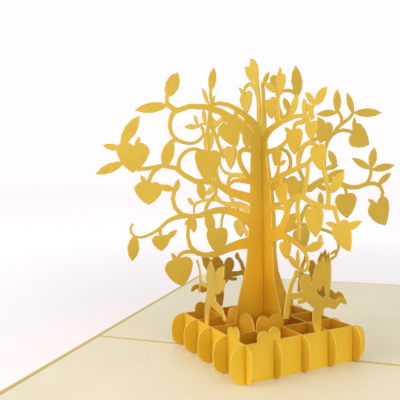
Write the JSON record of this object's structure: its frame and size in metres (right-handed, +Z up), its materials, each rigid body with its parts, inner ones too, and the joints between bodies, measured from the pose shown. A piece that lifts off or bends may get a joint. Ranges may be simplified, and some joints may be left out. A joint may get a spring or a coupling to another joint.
{
  "type": "pop up card",
  "caption": "Square greetings card opened flat, with a slotted card base and crossed cut-out panels that make a tree of heart fruits, and winged archers on the base walls.",
  "frame": {"origin": "middle of the fold line, on the underside of the cover, where the card lies on a table", "axes": "+X along the fold, -Y towards the near page, +Y towards the far page, +Z up the tree"},
  "size_m": [0.15, 0.3, 0.117],
  "materials": {
    "gold_card": "satin",
    "cream_paper": "matte"
  },
  "bodies": {
    "root": {"cover": "gold_card", "wall_front_left": "gold_card", "rib_behind_front_left_wall": "gold_card", "tree_panel_a": "gold_card", "rib_before_back_right_wall": "gold_card", "wall_back_right": "gold_card", "wall_front_right": "gold_card", "rib_behind_front_right_wall": "gold_card", "tree_panel_b": "gold_card", "rib_before_back_left_wall": "gold_card", "wall_back_left": "gold_card", "liner_near_page": "cream_paper", "liner_far_page": "cream_paper"}
  },
  "joints": []
}
